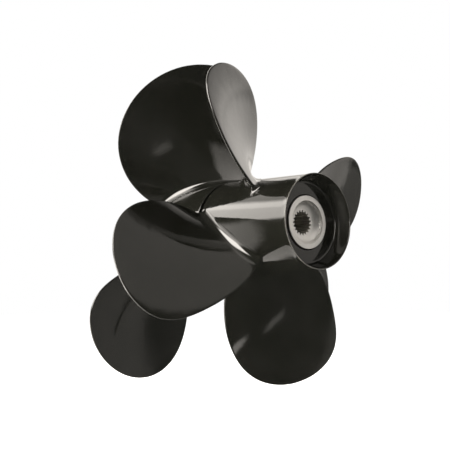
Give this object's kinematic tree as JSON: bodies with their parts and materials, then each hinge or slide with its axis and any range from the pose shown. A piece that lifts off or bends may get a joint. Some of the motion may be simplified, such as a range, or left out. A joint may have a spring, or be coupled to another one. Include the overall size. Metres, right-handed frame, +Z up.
{
  "type": "contra-rotating boat propeller pair",
  "caption": "Twin propellers on one shaft line that turn opposite ways, with wide cupped blades, tapered through hubs and splined rubber-mounted cores.",
  "frame": {"origin": "centre of the shaft bore at the forward face of the front hub", "axes": "+Y forward along the shaft line, +Z up, aft is -Y"},
  "size_m": [0.3764, 0.235, 0.3802],
  "materials": {
    "gloss_black_paint": "gloss black paint on cast aluminium",
    "bare_metal": "machined, unpainted",
    "rubber": "matt"
  },
  "bodies": {
    "front_propeller": {"front_propeller_casting": "gloss_black_paint", "front_rubber_bush": "rubber", "front_splined_sleeve": "bare_metal", "thrust_washer": "bare_metal"},
    "rear_propeller": {"rear_propeller_casting": "gloss_black_paint", "rear_rubber_bush": "rubber", "rear_splined_sleeve": "bare_metal"}
  },
  "joints": [
    {"name": "rear_spin", "type": "hinge", "parent": "front_propeller", "child": "rear_propeller", "pos_m": [0, -0.17, 0], "axis": [0, 1, 0], "continuous": true}
  ]
}
